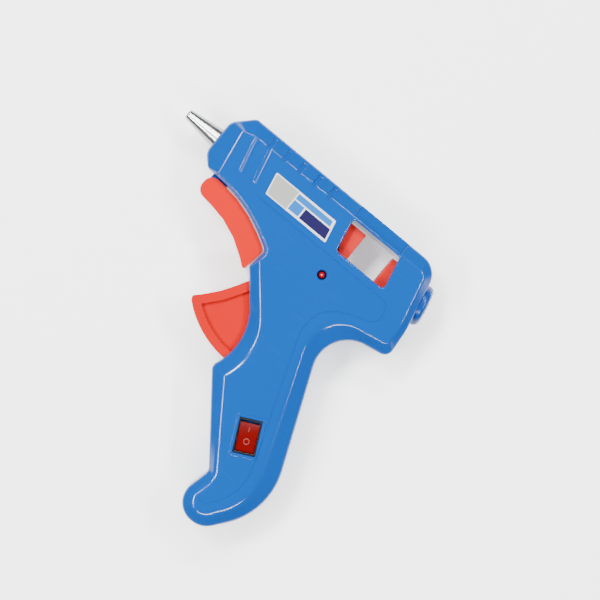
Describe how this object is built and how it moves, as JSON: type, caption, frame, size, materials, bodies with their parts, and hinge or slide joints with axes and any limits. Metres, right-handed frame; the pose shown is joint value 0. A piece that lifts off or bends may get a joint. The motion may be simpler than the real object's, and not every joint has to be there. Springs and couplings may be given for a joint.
{
  "type": "hot-melt glue gun",
  "caption": "Mini hot-melt glue gun with a metal nozzle, sector trigger, stick feeder behind a side window, rocker switch, lamp and fold-out stand.",
  "frame": {"origin": "centre of the stick inlet's mouth at the back of the barrel, on the glue stick's axis", "axes": "+X along the stick's axis out of the inlet (the nozzle points to -X), +Y from the grip to the top of the barrel, +Z square to the side that carries the label, the lamp and the switch; the gun lies on its other side"},
  "size_m": [0.1424, 0.1595, 0.0263],
  "materials": {
    "shell_blue": "satin gloss",
    "collar_blue": "satin gloss",
    "nozzle_aluminium": "polished",
    "chamber_aluminium": "as cast",
    "heater_ceramic": "matt",
    "film": "amber film",
    "spring_steel": "bright",
    "heat_rubber": "matt",
    "silicone": "translucent matt",
    "feeder_red": "satin",
    "cut_steel": "punched",
    "pin_steel": "ground",
    "trigger_coral": "satin gloss",
    "stand_coral": "satin gloss",
    "switch_black": "gloss",
    "rocker_red": "gloss",
    "tab_brass": "bright",
    "lamp_red": "clear gloss",
    "board_green": "lacquered",
    "resistor_body": "satin",
    "screw_steel": "zinc plated",
    "gland_rubber": "matt",
    "clamp_plastic": "matt",
    "lead_live": "satin",
    "lead_neutral": "satin",
    "cap_plastic": "matt",
    "label_film": "printed film"
  },
  "bodies": {
    "body": {"front_shell": "shell_blue", "back_shell": "shell_blue", "inlet_collar": "collar_blue", "nozzle": "nozzle_aluminium", "heating_chamber": "chamber_aluminium", "ptc_heater": "heater_ceramic", "heater_film": "film", "heater_clip": "spring_steel", "front_heat_ring": "heat_rubber", "rear_heat_ring": "heat_rubber", "stick_sleeve": "silicone", "sleeve_clamp": "spring_steel", "trigger_pin": "pin_steel", "return_spring": "spring_steel", "stand_pin": "pin_steel", "switch_housing": "switch_black", "switch_tabs": "tab_brass", "led": "lamp_red", "led_board": "board_green", "led_resistor": "resistor_body", "case_screws": "screw_steel", "clamp_screws": "screw_steel", "cord_gland": "gland_rubber", "cord_clamp": "clamp_plastic", "live_lead": "lead_live", "neutral_lead": "lead_neutral", "crimp_cap": "cap_plastic", "label": "label_film"},
    "trigger": {"trigger": "trigger_coral"},
    "feeder": {"feeder_carriage": "feeder_red", "gripper_pin": "pin_steel"},
    "gripper": {"stick_gripper": "cut_steel"},
    "stand": {"stand": "stand_coral"},
    "rocker": {"rocker": "rocker_red"}
  },
  "joints": [
    {"name": "trigger_pull", "type": "hinge", "parent": "body", "child": "trigger", "pos_m": [-0.0544, -0.0303, 0], "axis": [0, 0, 1], "range_deg": [0, 18], "stiffness_Nm_per_rad": 0.35, "springref_deg": -17.19, "deforming": ["return_spring"]},
    {"name": "feeder_slide", "type": "slide", "parent": "body", "child": "feeder", "axis": [-1, 0, 0], "range_m": [0, 0.0091]},
    {"name": "gripper_tilt", "type": "hinge", "parent": "feeder", "child": "gripper", "pos_m": [-0.046, -0.0083, 0], "axis": [0, 0, -1], "range_deg": [0, 8.1]},
    {"name": "stand_fold", "type": "hinge", "parent": "body", "child": "stand", "pos_m": [-0.1086, -0.0196, 0], "axis": [0, 0, -1], "range_deg": [0, 95]},
    {"name": "rocker_tilt", "type": "hinge", "parent": "body", "child": "rocker", "pos_m": [-0.02475, -0.0957, 0.009], "axis": [-0.8949, -0.4462, 0], "range_deg": [0, 16]}
  ],
  "couplings": [
    {"joint": "feeder_slide", "follows": "trigger_pull", "m_per_rad": 0.0285},
    {"joint": "gripper_tilt", "follows": "trigger_pull", "ratio": 0.4444}
  ]
}
